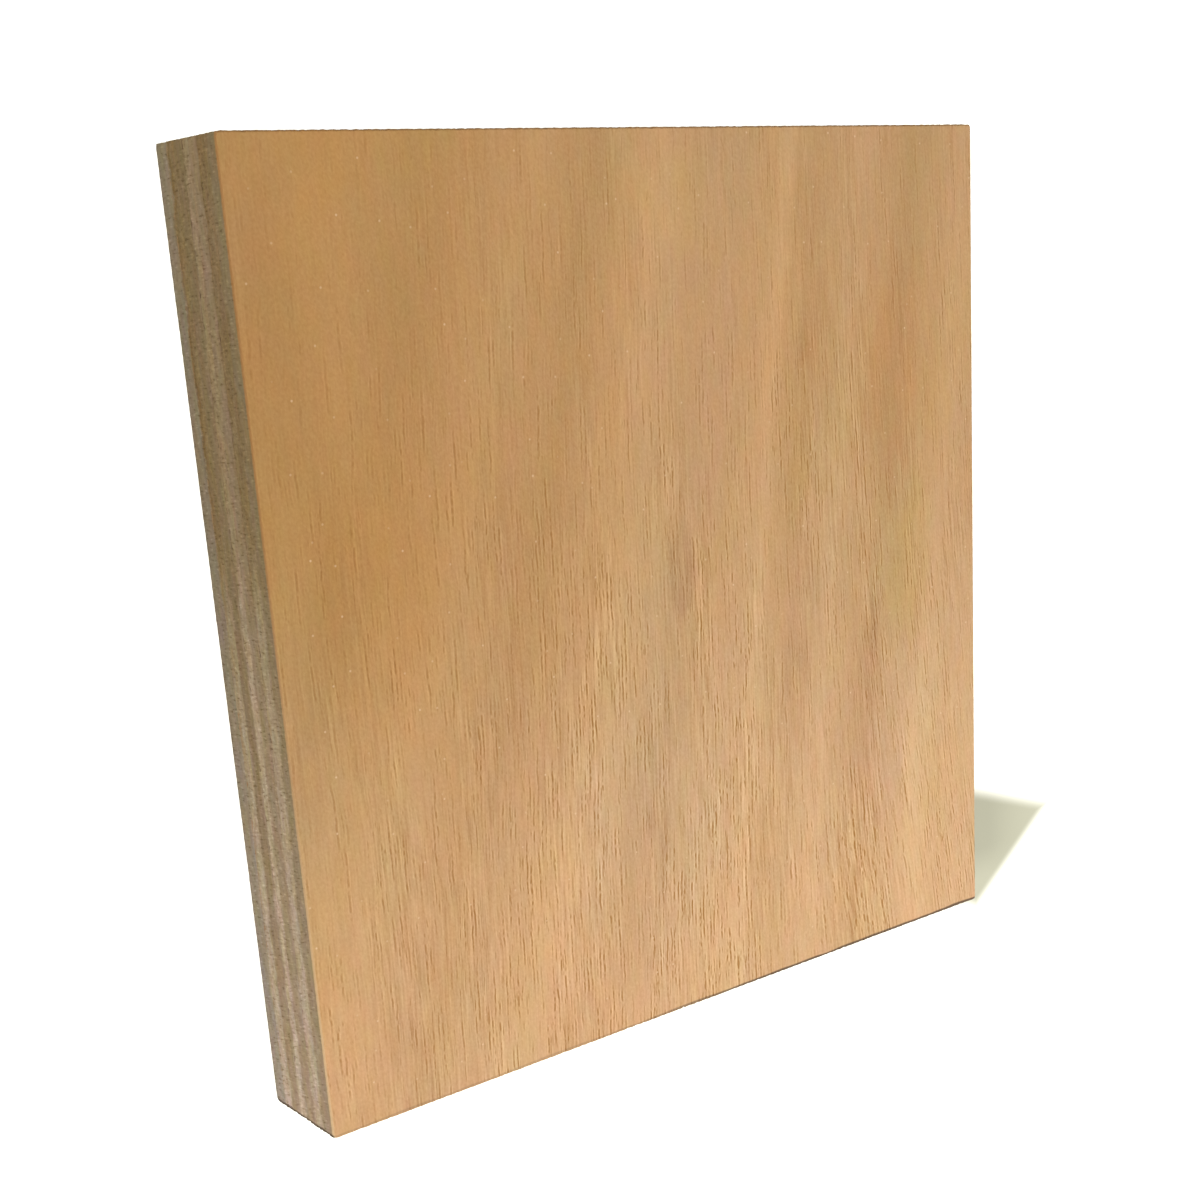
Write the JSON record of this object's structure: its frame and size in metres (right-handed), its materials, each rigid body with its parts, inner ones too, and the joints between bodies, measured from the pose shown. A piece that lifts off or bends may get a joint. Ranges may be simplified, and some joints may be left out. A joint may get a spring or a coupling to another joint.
{
  "type": "plywood sheet",
  "caption": "Square panel of cross-laminated hardwood veneers, sawn square on all four edges, with sanded faces and eased arrises.",
  "frame": {"origin": "middle of the underside, where the sheet rests on a level floor", "axes": "+Z out of the good face, through the thickness; +Y along the grain of the good face; +X across it"},
  "size_m": [0.146, 0.146, 0.019],
  "materials": {
    "face_veneer": "sanded, bare",
    "back_veneer": "sanded, bare",
    "cross_grain_veneer": "sawn, bare",
    "long_grain_veneer": "sawn, bare"
  },
  "bodies": {
    "root": {"back_veneer": "back_veneer", "lower_crossband": "cross_grain_veneer", "lower_core_veneer": "long_grain_veneer", "centre_veneer": "cross_grain_veneer", "upper_core_veneer": "long_grain_veneer", "upper_crossband": "cross_grain_veneer", "face_veneer": "face_veneer"}
  },
  "joints": []
}
